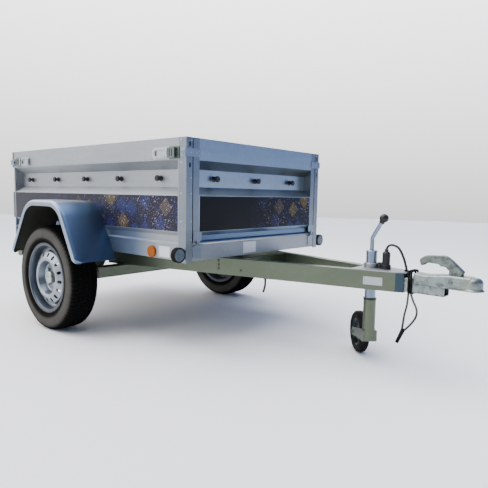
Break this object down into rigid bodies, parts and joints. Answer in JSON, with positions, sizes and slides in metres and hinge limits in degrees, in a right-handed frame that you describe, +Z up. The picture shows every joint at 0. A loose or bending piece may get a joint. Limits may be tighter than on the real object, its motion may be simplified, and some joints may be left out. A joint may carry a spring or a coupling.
{
  "type": "utility trailer",
  "caption": "Single-axle utility trailer: folded sheet box with drop gates, V drawbar with ball coupling and swivelling jockey wheel.",
  "frame": {"origin": "on the floor, half-way along the trailer and on its centre line", "axes": "+X forward to the coupling, +Y to the trailer's left, +Z up"},
  "size_m": [2.708, 1.49, 0.963],
  "materials": {
    "galvanised": "satin",
    "zinc_bright": "satin",
    "zinc_cast": "satin",
    "steel": "satin",
    "wheel_silver": "satin",
    "board": "satin",
    "tyre": "matt",
    "rubber": "matt",
    "black_plastic": "satin",
    "grey_plastic": "satin",
    "white_plastic": "gloss",
    "clear_lens": "gloss",
    "amber_lens": "gloss",
    "red_lens": "gloss"
  },
  "bodies": {
    "chassis": {"floor": "board", "side_rails": "galvanised", "cross_rails": "galvanised", "side_panel_right": "galvanised", "side_panel_left": "galvanised", "corner_posts": "galvanised", "gate_hinge_feet": "zinc_bright", "side_knobs": "black_plastic", "side_latches": "zinc_bright", "drawbar_arm_right": "galvanised", "drawbar_arm_left": "galvanised", "drawbar_crossmember": "galvanised", "drawbar_top_plate": "galvanised", "neck_tube": "galvanised", "coupling_head": "zinc_cast", "coupling_handle": "zinc_cast", "axle_beam": "steel", "axle_brackets": "galvanised", "suspension_arms": "steel", "mudguard_right": "galvanised", "mudguard_left": "galvanised", "jockey_tube": "zinc_bright", "jockey_crank": "zinc_bright", "crank_knob": "black_plastic", "marker_lamp_housings": "rubber", "marker_lamp_brackets": "galvanised", "marker_lamp_lenses": "clear_lens", "side_reflectors": "amber_lens", "lamp_board": "galvanised", "tail_lamp_housings": "black_plastic", "tail_lamp_lenses": "red_lens", "number_plate": "white_plastic", "plug_holder": "black_plastic", "plug": "black_plastic", "plug_lead": "rubber", "cable_grommets": "rubber", "cable_wrap": "rubber", "safety_cable_left": "rubber", "safety_cable_right": "rubber", "cable_sleeve": "rubber", "loom_tail": "rubber"},
    "front_gate": {"front_gate_panel": "galvanised", "front_gate_ends": "galvanised", "front_gate_fittings": "zinc_bright", "front_gate_knobs": "black_plastic"},
    "rear_gate": {"rear_gate_panel": "galvanised", "rear_gate_ends": "galvanised", "rear_gate_fittings": "zinc_bright", "rear_gate_knobs": "black_plastic"},
    "wheel_right": {"tyre_right": "tyre", "rim_right": "wheel_silver", "hub_right": "steel"},
    "wheel_left": {"tyre_left": "tyre", "rim_left": "wheel_silver", "hub_left": "steel"},
    "jockey_lift": {"jockey_collar": "black_plastic"},
    "jockey_swivel": {"jockey_sleeve": "zinc_bright"},
    "jockey_wheel": {"jockey_tyre": "rubber", "jockey_rim": "grey_plastic"}
  },
  "joints": [
    {"name": "front_gate_hinge", "type": "hinge", "parent": "chassis", "child": "front_gate", "pos_m": [0.29, 0, 0.495], "axis": [0, 1, 0], "range_deg": [0, 90]},
    {"name": "rear_gate_hinge", "type": "hinge", "parent": "chassis", "child": "rear_gate", "pos_m": [-1.348, 0, 0.495], "axis": [0, -1, 0], "range_deg": [0, 180]},
    {"name": "wheel_right_spin", "type": "hinge", "parent": "chassis", "child": "wheel_right", "pos_m": [-0.572, -0.651, 0.2735], "axis": [0, 1, 0], "continuous": true},
    {"name": "wheel_left_spin", "type": "hinge", "parent": "chassis", "child": "wheel_left", "pos_m": [-0.572, 0.651, 0.2735], "axis": [0, 1, 0], "continuous": true},
    {"name": "jockey_lift_slide", "type": "slide", "parent": "chassis", "child": "jockey_lift", "axis": [0, 0, 1], "range_m": [-0.03, 0.12]},
    {"name": "jockey_swivel_turn", "type": "hinge", "parent": "jockey_lift", "child": "jockey_swivel", "pos_m": [0.894, 0, 0.2], "axis": [0, 0, 1], "continuous": true},
    {"name": "jockey_wheel_spin", "type": "hinge", "parent": "jockey_swivel", "child": "jockey_wheel", "pos_m": [0.80402, 0.09383, 0.096], "axis": [0.7218, 0.6921, 0], "continuous": true}
  ]
}
